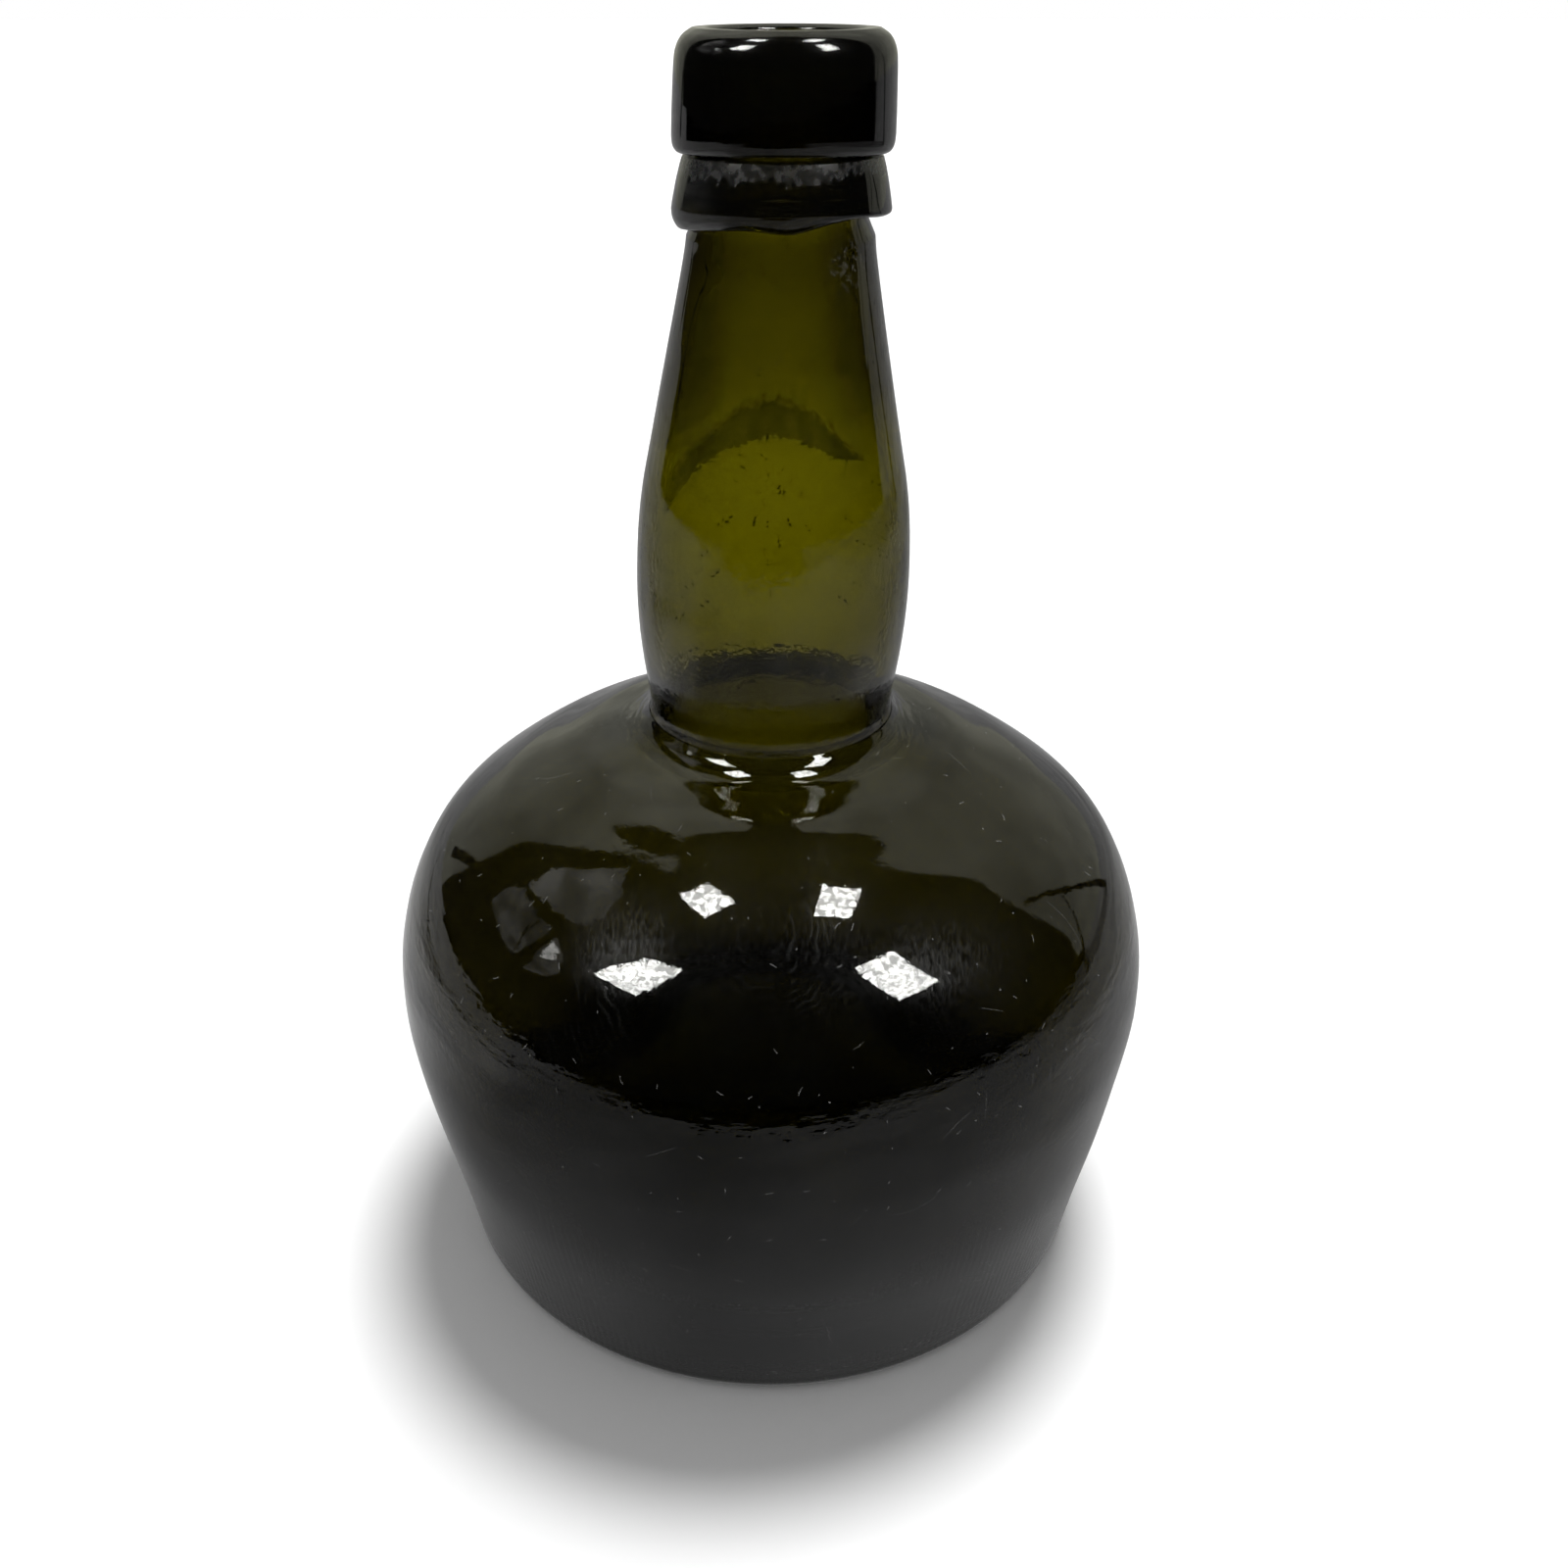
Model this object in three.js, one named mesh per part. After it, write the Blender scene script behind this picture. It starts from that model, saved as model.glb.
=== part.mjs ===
// A free-blown mallet bottle of dark olive glass, standing on its base.
// Millimetres, +Z up, origin on the table under the middle of the body, -Y towards the viewer.
// The glass is built as the maker put it together: the blown body and neck, then the trail of
// glass laid round the neck, the band that makes the mouth, and what the pontil rod left behind.

import * as THREE from "three";

// Driving dimensions
const HEIGHT = 193.8;
const CREASE_Z = 96; // pinched joint of neck and shoulder
const CREASE_R = 19.6;
const THROAT_R = 16.4; // inside the crease
const BELLY_R = 63.8;
const FOOT_IN_R = 46; // worn flat ring that the bottle rests on
const FOOT_OUT_R = 53.8;
const HEEL_R = 3.2; // rounding from the resting ring to the wall
const PUNT_Z = 19.5; // height of the push-up in the base
const FLOOR_T = 7.9; // glass at the middle of the push-up
const BORE_R = 9.5;
const NECK_TOP_R = 12; // neck where the applied glass covers it
const LIP_R = 15.1;
const LIP_LOW_Z = 178.6;
const LIP_COVER = 10.9; // how far down the band laps over the neck's end
const COLLAR_RIM_R = 15.2;
const COLLAR_RIM_Z = 171.4;
const COLLAR_EDGE_Z = 169.9; // mean height of the trail's lower edge
const COLLAR_TOP_Z = 178.3;
const SCAR_LOW_Z = 17; // below this the broken ring is jagged
const GAP = 0.3; // left between neighbouring pieces
const LEAN = 2.05; // how far the mouth stands to the right of the body's middle
const LEAN_POWER = 1.3;
const SIDES = 60;

// How the hand-laid glass departs from true. Angles are radians round the neck, 0 at the front
// and growing to the right.
const SKEW = 0.052; // the trail and the lip's lower edge ride up at the front
const SKEW_TOP_Z = 190; // above this the lip is level
const EDGE_SLOPE = 0.85; // the trail's lower edge is higher on the right
const DRIP = { angle: 0.07, width: 0.26, depth: 0.9 };
const LIFT = { angle: 0.8, width: 0.3, depth: -0.45 };
const BACK_DRIP = { angle: 2.6, width: 0.5, depth: 0.7 };

const GLASS = { color: 0x23250a, roughness: 0.06, metalness: 0 };

// Outline points [radius, height]
const vectors = (pairs) => pairs.map(([r, z]) => new THREE.Vector2(r, z));

// A smooth curve through hand-chosen stations
function smooth(pairs, stepsPerSpan) {
  const curve = new THREE.SplineCurve(vectors(pairs));
  return curve.getPoints((pairs.length - 1) * stepsPerSpan);
}

// Rounding from the flat underside up to the wall
function heel(steps) {
  const curve = new THREE.EllipseCurve(FOOT_OUT_R, HEEL_R, HEEL_R, HEEL_R, -Math.PI / 2, 0);
  return curve.getPoints(steps);
}

// Drops a point that repeats the one before it
function distinct(points) {
  return points.filter((p, i) => i === 0 || p.distanceTo(points[i - 1]) > 1e-3);
}

// Solid of revolution about Z. The outline runs up the outside and down the inside.
function revolve(points) {
  const geometry = new THREE.LatheGeometry(distinct(points), SIDES);
  geometry.rotateX(Math.PI / 2);
  return geometry;
}

// Moves each vertex by the rules, in turn
function reshape(geometry, rules) {
  const position = geometry.attributes.position;
  const p = new THREE.Vector3();
  for (let i = 0; i < position.count; i++) {
    p.fromBufferAttribute(position, i);
    rules.forEach((rule) => rule(p));
    position.setXYZ(i, p.x, p.y, p.z);
  }
  geometry.computeVertexNormals();
}

// Angle round the neck from the front
const around = (p) => Math.atan2(p.x, -p.y);

// The neck leans a little more with height
function lean(p) {
  const up = Math.max(0, (p.z - CREASE_Z) / (HEIGHT - CREASE_Z));
  p.x += LEAN * up ** LEAN_POWER;
}

// The lip's lower part and the trail sit askew
function skew(p) {
  const below = Math.max(0, SKEW_TOP_Z - p.z);
  p.z += SKEW * below * Math.cos(around(p));
}

function bump(angle, { angle: at, width, depth }) {
  const off = Math.atan2(Math.sin(angle - at), Math.cos(angle - at));
  return depth * Math.exp(-((off / width) ** 2));
}

// The trail's lower edge wanders, and all above its rim stays put
function wander(p) {
  const low = (COLLAR_RIM_Z - p.z) / (COLLAR_RIM_Z - COLLAR_EDGE_Z);
  const share = THREE.MathUtils.clamp(low, 0, 1);
  const angle = around(p);
  const drop = bump(angle, DRIP) + bump(angle, LIFT) + bump(angle, BACK_DRIP);
  p.z += share * (EDGE_SLOPE * Math.sin(angle) - drop);
}

// The broken ring's underside goes up and down
function jagged(p) {
  const angle = around(p);
  const ragged = 0.35 * Math.sin(5 * angle) + 0.25 * Math.sin(11 * angle + 1);
  p.z += p.z < SCAR_LOW_Z ? ragged : 0;
}

function bodyOutline() {
  const punt = smooth([
    [0, PUNT_Z], [12, 17.8], [24, 12], [34, 5.5], [41, 1.6], [FOOT_IN_R, 0],
  ], 1);
  const outside = smooth([
    [FOOT_OUT_R + HEEL_R, HEEL_R], [58.9, 14], [61.7, 29], [63.4, 42], [BELLY_R, 49.5],
    [63.1, 57.5], [60.2, 66.5], [54.8, 75], [44.7, 83], [36, 87.85], [30.6, 90.6], [26.6, 92],
    [23.4, 93], [21, 94.4], [CREASE_R, CREASE_Z],
  ], 2);
  const inside = smooth([
    [THROAT_R, CREASE_Z], [19.6, 91.4], [26.5, 87.2], [36.5, 82.6], [46, 76.4], [53.8, 68.5],
    [58.2, 60.5], [59.3, 51], [58.4, 40], [56.4, 28], [53.6, 17.5], [49.5, 11.4], [43.5, 10.2],
    [35, 13.5], [25.5, 19.8], [13, 25.4], [0, PUNT_Z + FLOOR_T],
  ], 1);
  return [...punt, ...heel(3), ...outside, ...inside];
}

// Blown thin in the swell; the glass thickens above it, where the bore draws in
function neckOutline() {
  const low = CREASE_Z + GAP;
  const top = LIP_LOW_Z + LIP_COVER;
  const outside = smooth([
    [CREASE_R - 0.1, low], [19.4, 98], [19.75, 101], [20.45, 106], [20.95, 111.5], [21.1, 118],
    [20.7, 126.5], [19.9, 133], [18.5, 140], [16.5, 150], [14.55, 160], [13.5, 165.6],
    [13.15, 168.2],
  ], 2);
  const covered = vectors([[NECK_TOP_R, 170.6], [NECK_TOP_R, top], [BORE_R, top]]);
  const inside = smooth([
    [BORE_R, 168], [9.8, 165], [11.1, 160], [13, 151], [14.4, 145.5], [16, 140], [17.6, 132],
    [18.4, 124], [18.4, 114], [17.6, 105.5], [16.6, 100], [THROAT_R, low],
  ], 1);
  return [...outside, ...covered, ...inside, outside[0]];
}

function collarOutline() {
  const inner = NECK_TOP_R + GAP;
  const edge = [[13.4, COLLAR_EDGE_Z + 0.5], [13.8, COLLAR_EDGE_Z], [14.4, COLLAR_EDGE_Z + 0.15]];
  const rim = [[15, COLLAR_RIM_Z - 0.7], [COLLAR_RIM_R, COLLAR_RIM_Z], [15.15, COLLAR_RIM_Z + 0.8]];
  const flare = [[14.6, 175], [14.05, 177.2], [13.7, COLLAR_TOP_Z]];
  return vectors([[inner, 173], ...edge, ...rim, ...flare, [inner, COLLAR_TOP_Z], [inner, 173]]);
}

function lipOutline() {
  const inner = NECK_TOP_R + GAP;
  const step = LIP_LOW_Z + LIP_COVER + GAP;
  const foot = [[inner, LIP_LOW_Z], [13.7, LIP_LOW_Z], [14.6, 179]];
  const side = [[LIP_R, 180.2], [LIP_R, 183], [14.95, 187], [14.8, 189.7]];
  const shoulder = [[14.6, 191.2], [14.1, 192.4], [13.4, 193.2], [12.4, HEIGHT]];
  const mouth = [[10.9, HEIGHT], [10.1, 193.4], [9.65, 192.5], [BORE_R, 191.2], [BORE_R, step]];
  return vectors([...foot, ...side, ...shoulder, ...mouth, [inner, step], foot[0]]);
}

// A low broken ring just under the middle of the push-up
function scarOutline() {
  const low = [[7.6, 16.6], [9.2, 15.9], [11.4, 15.8]];
  const high = [[12, 17.1], [10.6, 17.6], [7.4, 18.05]];
  return vectors([...low, ...high, low[0]]);
}

const bottle = new THREE.Group();

function addPiece(name, outline, rules) {
  const geometry = revolve(outline);
  reshape(geometry, rules);
  const piece = new THREE.Mesh(geometry, new THREE.MeshStandardMaterial(GLASS));
  piece.name = name;
  bottle.add(piece);
}

addPiece("body", bodyOutline(), []);
addPiece("neck", neckOutline(), [lean]);
addPiece("string_collar", collarOutline(), [wander, skew, lean]);
addPiece("lip_band", lipOutline(), [skew, lean]);
addPiece("pontil_scar", scarOutline(), [jagged]);

export default bottle;
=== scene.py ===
# A free-blown mallet bottle of dark olive glass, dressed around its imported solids.
# Metres, +Z up, -Y towards the viewer. Outlines are written in millimetres and scaled by MM.
# The pieces are turned from the same outlines as the solids, with more steps.

import math
from collections import namedtuple

import bmesh
import bpy
import numpy as np
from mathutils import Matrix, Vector


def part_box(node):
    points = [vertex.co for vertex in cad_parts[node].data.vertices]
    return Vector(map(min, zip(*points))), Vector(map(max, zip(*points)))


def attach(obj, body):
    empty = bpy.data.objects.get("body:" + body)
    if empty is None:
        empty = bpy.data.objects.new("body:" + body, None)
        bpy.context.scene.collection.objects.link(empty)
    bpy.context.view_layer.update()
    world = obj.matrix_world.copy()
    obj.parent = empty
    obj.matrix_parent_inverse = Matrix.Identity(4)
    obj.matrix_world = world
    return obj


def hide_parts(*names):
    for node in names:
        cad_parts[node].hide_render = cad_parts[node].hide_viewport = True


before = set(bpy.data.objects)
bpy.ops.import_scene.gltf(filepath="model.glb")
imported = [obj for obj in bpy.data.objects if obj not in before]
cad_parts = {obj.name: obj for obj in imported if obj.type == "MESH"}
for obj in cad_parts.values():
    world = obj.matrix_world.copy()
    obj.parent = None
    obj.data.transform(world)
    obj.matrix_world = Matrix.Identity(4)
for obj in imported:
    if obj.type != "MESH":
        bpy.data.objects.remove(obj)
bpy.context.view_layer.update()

MM = 0.001

# Driving dimensions, as in the solids
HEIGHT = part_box("lip_band")[1].z / MM
CREASE_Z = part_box("body")[1].z / MM
CREASE_R = 19.6
THROAT_R = 16.4
BELLY_R = 63.8
FOOT_IN_R = 46
FOOT_OUT_R = 53.8
HEEL_R = 3.2
PUNT_Z = 19.5
FLOOR_T = 7.9
BORE_R = 9.5
NECK_TOP_R = 12
LIP_R = 15.1
LIP_LOW_Z = 178.6
LIP_COVER = 10.9
COLLAR_RIM_R = 15.2
COLLAR_RIM_Z = 171.4
COLLAR_EDGE_Z = 169.9
COLLAR_TOP_Z = 178.3
COLLAR_SHELF_Z = 173  # where the trail's underside meets the neck
SCAR_LOW_Z = 17
LEAN = 2.05
LEAN_POWER = 1.3
SKEW = 0.052
SKEW_TOP_Z = 190
EDGE_SLOPE = 0.85
DRIPS = ((0.07, 0.26, 0.9), (0.8, 0.3, -0.45), (2.6, 0.5, 0.7))  # angle, width, depth
SEAM = 0.05  # left between fused pieces, thinner than the solids keep
WAVER = 0.11  # how far the blown walls of the bowl swell and sink
WAVER_WAVES = (  # weight, waves round the piece, height to a radian, start
    (1, 2, 17, 0), (0.7, 3, -11, 2), (0.5, 5, 7, 1), (0.4, 2, 4.1, 0),
)
FOOT_CALM = 12  # the waver grows over this height
SHARP_ANGLE = 40  # degrees; edges sharper than this aren't shaded smooth
TOUCHING = 1e-4  # points nearer than this are one

# The camera, at the photograph's place
CAMERA_AT = (0, -0.216, 0.2016)
CAMERA_PITCH = 29.26  # degrees below level
CAMERA_LENS = 33.84
CAMERA_SENSOR = 36
CAMERA_SHIFT = 0.0084


# Curves and turned pieces

def smooth(stations, steps):
    """Catmull-Rom curve through the stations, as in the solids."""
    p = np.array(stations, float)
    padded = np.vstack([p[:1], p, p[-1:]])
    points = []
    for i in range(len(p) - 1):
        a, b, c, d = padded[i:i + 4]
        start, end = (c - a) / 2, (d - b) / 2
        for t in np.arange(steps) / steps:
            cubic = (2 * b - 2 * c + start + end) * t ** 3
            points.append(cubic + (-3 * b + 3 * c - 2 * start - end) * t ** 2 + start * t + b)
    return np.vstack(points + [p[-1:]])


def heel(steps):
    """Rounding from the flat underside up to the wall."""
    angle = np.linspace(0, math.pi / 2, steps + 1)
    radius = FOOT_OUT_R + HEEL_R * np.sin(angle)
    return np.stack([radius, HEEL_R - HEEL_R * np.cos(angle)], 1)


def straight(*stations, step):
    """A straight-sided run, with a point every step or so."""
    points = []
    for a, b in zip(stations[:-1], stations[1:]):
        a, b = np.array(a, float), np.array(b, float)
        n = max(1, round(np.linalg.norm(b - a) / step))
        points += [a + (b - a) * k / n for k in range(n)]
    return np.array(points + [stations[-1]])


def distinct(points):
    """Drops each point that repeats the one before it."""
    far = np.linalg.norm(np.diff(points, axis=0), axis=1) > TOUCHING
    return points[np.concatenate([[True], far])]


def turned(name, outline, rules, sides, is_fused):
    """A solid of revolution. The outline runs up the outside and down the inside.
    is_fused tells from radius and height where the glass runs on into its neighbour."""
    line = distinct(np.vstack(outline))
    closed = np.linalg.norm(line[0] - line[-1]) < TOUCHING
    if closed:
        line = line[:-1]
    angle = np.arange(sides) * 2 * math.pi / sides
    r, z = line[:, :1], line[:, 1:]
    rings = np.stack([r * np.sin(angle), -r * np.cos(angle), z + 0 * angle], 2)
    rows = len(line)
    points = rings.reshape(-1, 3)
    for rule in rules:
        points = rule(points)
    faces, fused = [], []
    last = rows if closed else rows - 1
    index = np.arange(rows * sides).reshape(rows, sides)
    if not closed:
        index[0], index[-1] = index[0, 0], index[-1, 0]
    for i in range(last):
        here, above = index[i], index[(i + 1) % rows]
        middle = (line[i] + line[(i + 1) % rows]) / 2
        fused += [float(is_fused(*middle))] * sides
        for k in range(sides):
            m = (k + 1) % sides
            corners = [here[k], here[m], above[m], above[k]]
            faces.append(list(dict.fromkeys(corners)))
    mesh = bpy.data.meshes.new(name)
    mesh.from_pydata((points * MM).tolist(), [], faces)
    mesh.attributes.new("fused", "FLOAT", "FACE").data.foreach_set("value", fused)
    piece = bpy.data.objects.new(name, mesh)
    bpy.context.collection.objects.link(piece)
    drop_loose(mesh)
    mesh.shade_smooth()
    mesh.set_sharp_from_angle(angle=math.radians(SHARP_ANGLE))
    return piece


def drop_loose(mesh):
    """Removes the spare vertices that stand on the axis."""
    b = bmesh.new()
    b.from_mesh(mesh)
    bmesh.ops.delete(b, geom=[v for v in b.verts if not v.link_faces], context="VERTS")
    b.to_mesh(mesh)
    b.free()


# Rules that move points

def around(p):
    """Angle round the axis, 0 at the front and growing to the right."""
    return np.arctan2(p[:, 0], -p[:, 1])


def lean(p):
    """The neck leans a little more with height."""
    up = np.clip((p[:, 2] - CREASE_Z) / (HEIGHT - CREASE_Z), 0, None)
    return p + np.outer(LEAN * up ** LEAN_POWER, (1, 0, 0))


def skew(p):
    """The trail and the lip's lower part ride up at the front."""
    below = np.clip(SKEW_TOP_Z - p[:, 2], 0, None)
    return p + np.outer(SKEW * below * np.cos(around(p)), (0, 0, 1))


def bump(angle, at, width, depth):
    """A soft hump round one angle."""
    off = np.arctan2(np.sin(angle - at), np.cos(angle - at))
    return depth * np.exp(-((off / width) ** 2))


def wander(p):
    """The trail's lower edge goes up and down, and all above its rim stays put."""
    low = (COLLAR_RIM_Z - p[:, 2]) / (COLLAR_RIM_Z - COLLAR_EDGE_Z)
    angle = around(p)
    drop = sum(bump(angle, *drip) for drip in DRIPS)
    return p + np.outer(np.clip(low, 0, 1) * (EDGE_SLOPE * np.sin(angle) - drop), (0, 0, 1))


def waver(p):
    """The slight unevenness of blown glass, in slow waves round and up the piece.
    It dies away towards the foot, which stays flat."""
    angle, z, radius = around(p), p[:, 2], np.hypot(p[:, 0], p[:, 1])
    swell = sum(w * np.sin(n * angle + z / rise + start) for w, n, rise, start in WAVER_WAVES)
    calm = np.clip(z / FOOT_CALM, 0, 1) * radius / BELLY_R
    share = WAVER * swell * calm / np.maximum(radius, 1)
    return p * np.stack([1 + share, 1 + share, 1 + 0 * share], 1)


def jagged(p):
    """The broken ring's underside goes up and down."""
    angle = around(p)
    ragged = 0.35 * np.sin(5 * angle) + 0.25 * np.sin(11 * angle + 1)
    return p + np.outer(np.where(p[:, 2] < SCAR_LOW_Z, ragged, 0), (0, 0, 1))


# Outlines

def body_outline():
    punt = smooth([[0, PUNT_Z], [12, 17.8], [24, 12], [34, 5.5], [41, 1.6], [FOOT_IN_R, 0]], 8)
    outside = smooth([
        [FOOT_OUT_R + HEEL_R, HEEL_R], [58.9, 14], [61.7, 29], [63.4, 42], [BELLY_R, 49.5],
        [63.1, 57.5], [60.2, 66.5], [54.8, 75], [44.7, 83], [36, 87.85], [30.6, 90.6], [26.6, 92],
        [23.4, 93], [21, 94.4], [CREASE_R, CREASE_Z],
    ], 10)
    inside = smooth([
        [THROAT_R, CREASE_Z], [19.6, 91.4], [26.5, 87.2], [36.5, 82.6], [46, 76.4], [53.8, 68.5],
        [58.2, 60.5], [59.3, 51], [58.4, 40], [56.4, 28], [53.6, 17.5], [49.5, 11.4], [43.5, 10.2],
        [35, 13.5], [25.5, 19.8], [13, 25.4], [0, PUNT_Z + FLOOR_T],
    ], 6)
    return [punt, heel(8), outside, inside]


def neck_outline():
    low = CREASE_Z + SEAM
    top = LIP_LOW_Z + LIP_COVER
    outside = smooth([
        [CREASE_R - 0.02, low], [19.4, 98], [19.75, 101], [20.45, 106], [20.95, 111.5], [21.1, 118],
        [20.7, 126.5], [19.9, 133], [18.5, 140], [16.5, 150], [14.55, 160], [13.5, 165.6],
        [13.15, 168.2],
    ], 10)
    covered = [[NECK_TOP_R, 170.6], [NECK_TOP_R, top], [BORE_R, top]]
    inside = smooth([
        [BORE_R, 168], [9.8, 165], [11.1, 160], [13, 151], [14.4, 145.5], [16, 140], [17.6, 132],
        [18.4, 124], [18.4, 114], [17.6, 105.5], [16.6, 100], [THROAT_R, low],
    ], 8)
    return [outside, straight(*covered, step=2), inside, outside[:1]]


def collar_outline():
    inner = NECK_TOP_R + SEAM
    edge = [[13.4, COLLAR_EDGE_Z + 0.5], [13.8, COLLAR_EDGE_Z], [14.4, COLLAR_EDGE_Z + 0.15]]
    rim = [[15, COLLAR_RIM_Z - 0.7], [COLLAR_RIM_R, COLLAR_RIM_Z], [15.15, COLLAR_RIM_Z + 0.8]]
    flare = [[14.6, 175], [14.05, 177.2], [13.7, COLLAR_TOP_Z]]
    outer = smooth([[inner + 0.2, 172.8], *edge, *rim, *flare], 6)
    low = [[inner, COLLAR_SHELF_Z]]
    return [low, outer, [[inner, COLLAR_TOP_Z]], low]


def lip_outline():
    inner = NECK_TOP_R + SEAM
    step = LIP_LOW_Z + LIP_COVER + SEAM
    foot = [[13.7, LIP_LOW_Z], [14.6, 179]]
    side = [[LIP_R, 180.2], [LIP_R, 183], [14.95, 187], [14.8, 189.7]]
    shoulder = [[14.6, 191.2], [14.1, 192.4], [13.4, 193.2], [12.4, HEIGHT]]
    mouth = [[10.9, HEIGHT], [10.1, 193.4], [9.65, 192.5], [BORE_R, 191.2], [BORE_R, step]]
    outer = smooth([*foot, *side, *shoulder], 6)
    return [[[inner, LIP_LOW_Z]], outer, smooth(mouth, 6), [[inner, step], [inner, LIP_LOW_Z]]]


def scar_outline():
    low = [[7.6, 16.6], [9.2, 15.9], [11.4, 15.8]]
    high = [[12, 17.1], [10.6, 17.6], [7.4, 18.05]]
    return [[*low, *high, low[0]]]


# Where each piece runs on into its neighbour, by the radius and height of a face's middle

def body_joins(r, z):
    return z > CREASE_Z - SEAM and r > THROAT_R


def neck_joins(r, z):
    beside_trail = COLLAR_SHELF_Z < z < COLLAR_TOP_Z or z > LIP_LOW_Z
    covered = abs(r - NECK_TOP_R) < SEAM and beside_trail
    return z < CREASE_Z + 2 * SEAM or covered or z > LIP_LOW_Z + LIP_COVER - SEAM


def collar_joins(r, z):
    return r < NECK_TOP_R + 2 * SEAM


def lip_joins(r, z):
    over_neck = r < NECK_TOP_R and z < LIP_LOW_Z + LIP_COVER + 4 * SEAM
    return abs(r - NECK_TOP_R) < 2 * SEAM or over_neck


def scar_joins(r, z):
    return False


# Node helpers

def new_material(name):
    """An empty material and its node tree."""
    material = bpy.data.materials.new(name)
    material.use_nodes = True
    tree = material.node_tree
    tree.nodes.clear()
    return material, tree


def add(tree, kind, inputs=None, **settings):
    """Adds a node. Inputs are given by name or number, as values or as sockets to link."""
    node = tree.nodes.new(kind)
    for key, value in settings.items():
        setattr(node, key, value)
    for key, value in (inputs or {}).items():
        if isinstance(value, bpy.types.NodeSocket):
            tree.links.new(value, node.inputs[key])
        else:
            node.inputs[key].default_value = value
    return node


def maths(tree, operation, *values):
    return add(tree, "ShaderNodeMath", dict(enumerate(values)), operation=operation).outputs[0]


def ramp(tree, value, low, high, to_low=0.0, to_high=1.0):
    """Smooth step of a value from low to high."""
    inputs = {0: value, 1: low, 2: high, 3: to_low, 4: to_high}
    return add(tree, "ShaderNodeMapRange", inputs, interpolation_type="SMOOTHSTEP").outputs[0]


def mixed(tree, share, first, second):
    return add(tree, "ShaderNodeMix", {0: share, 2: first, 3: second}).outputs[0]


def mixed_colour(tree, share, first, second):
    node = add(tree, "ShaderNodeMix", {0: share, 6: first, 7: second}, data_type="RGBA")
    return node.outputs[2]


def total(tree, *values):
    """Sum of sockets and numbers."""
    result = values[0]
    for value in values[1:]:
        result = maths(tree, "ADD", result, value)
    return result


def product(tree, *values):
    """Product of sockets and numbers."""
    result = values[0]
    for value in values[1:]:
        result = maths(tree, "MULTIPLY", result, value)
    return result


def window(tree, value, low, high, soft):
    """One between low and high, fading to nothing over soft beyond them."""
    rising = ramp(tree, value, low - soft, low)
    return product(tree, rising, ramp(tree, value, high + soft, high))


def noise(tree, at, scale, detail=2.0):
    """Noise about zero. The scale is in waves per metre, along x, y and z if given three."""
    vector = at.where
    if isinstance(scale, tuple):
        node = add(tree, "ShaderNodeVectorMath", {0: vector, 1: scale}, operation="MULTIPLY")
        vector, scale = node.outputs[0], 1
    inputs = {"Vector": vector, "Scale": scale, "Detail": detail}
    return maths(tree, "SUBTRACT", add(tree, "ShaderNodeTexNoise", inputs).outputs["Fac"], 0.5)


def near(tree, at, centre, radius):
    """One at a point in millimetres, falling to nothing at the radius."""
    point = tuple(c * MM for c in centre)
    away = add(tree, "ShaderNodeVectorMath", {0: at.where, 1: point}, operation="DISTANCE")
    return ramp(tree, away.outputs["Value"], radius * MM, 0)


Place = namedtuple("Place", "where x y z angle radius")


def place(tree):
    """Where a point is on the bottle: as a vector, by its parts, and by angle and radius."""
    where = add(tree, "ShaderNodeTexCoord").outputs["Object"]
    x, y, z = add(tree, "ShaderNodeSeparateXYZ", {0: where}).outputs
    angle = maths(tree, "ARCTAN2", x, maths(tree, "MULTIPLY", y, -1))
    square = total(tree, product(tree, x, x), product(tree, y, y))
    return Place(where, x, y, z, angle, maths(tree, "SQRT", square))


STROKE_BEND = 900  # how far a mark strays from straight


def strokes(tree, across, up, cell, length, width, share):
    """Short bent marks laid at all angles, at most one to a cell. Sizes are in millimetres."""
    flat = add(tree, "ShaderNodeCombineXYZ", {0: across, 1: up}).outputs[0]
    cells = add(tree, "ShaderNodeTexVoronoi", {
        "Vector": flat, "Scale": 1 / (cell * MM),
    }, voronoi_dimensions="2D")
    off = add(tree, "ShaderNodeVectorMath", {
        0: flat, 1: cells.outputs["Position"],
    }, operation="SUBTRACT").outputs[0]
    turn, chance, size = add(tree, "ShaderNodeSeparateColor", {0: cells.outputs["Color"]}).outputs
    turned_off = add(tree, "ShaderNodeVectorRotate", {
        "Vector": off, "Angle": product(tree, turn, 2 * math.pi),
    }, rotation_type="Z_AXIS").outputs[0]
    along, beside, _ = add(tree, "ShaderNodeSeparateXYZ", {0: turned_off}).outputs
    bend = product(tree, along, along, maths(tree, "SUBTRACT", size, 0.5), STROKE_BEND / length)
    beside = maths(tree, "ABSOLUTE", total(tree, beside, bend))
    reach = product(tree, total(tree, size, 0.3), length * MM / 2)
    ends = ramp(tree, maths(tree, "DIVIDE", maths(tree, "ABSOLUTE", along), reach), 1, 0.8)
    body = ramp(tree, beside, width * MM / 2, width * MM / 5)
    return product(tree, ends, body, maths(tree, "LESS_THAN", chance, share))


# Glass

GLASS_IOR = 1.52
POLISH = 0.03  # roughness of clean glass
SMEAR_ROUGH = 0.3
BOWL_TAKES = (443, 463, 1500)  # absorption of red, green and blue, per metre
NECK_TAKES = (475, 497, 1600)
TRAIL_TAKES = (760, 790, 2200)
CLEAR = (1, 1, 1, 1)
# the colour of specks, seeds and the dark arch, and of painted shade
SPECK_AND_SHADE_DARK = (0.02, 0.02, 0.012, 1)

# height in millimetres, haze as the share of light scattered, rough above the plain polish,
# smear as a greasy film's share, dark as the share of specks, seeds, a dark arch and painted shade
Surface = namedtuple("Surface", "height haze rough smear dark")

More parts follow.
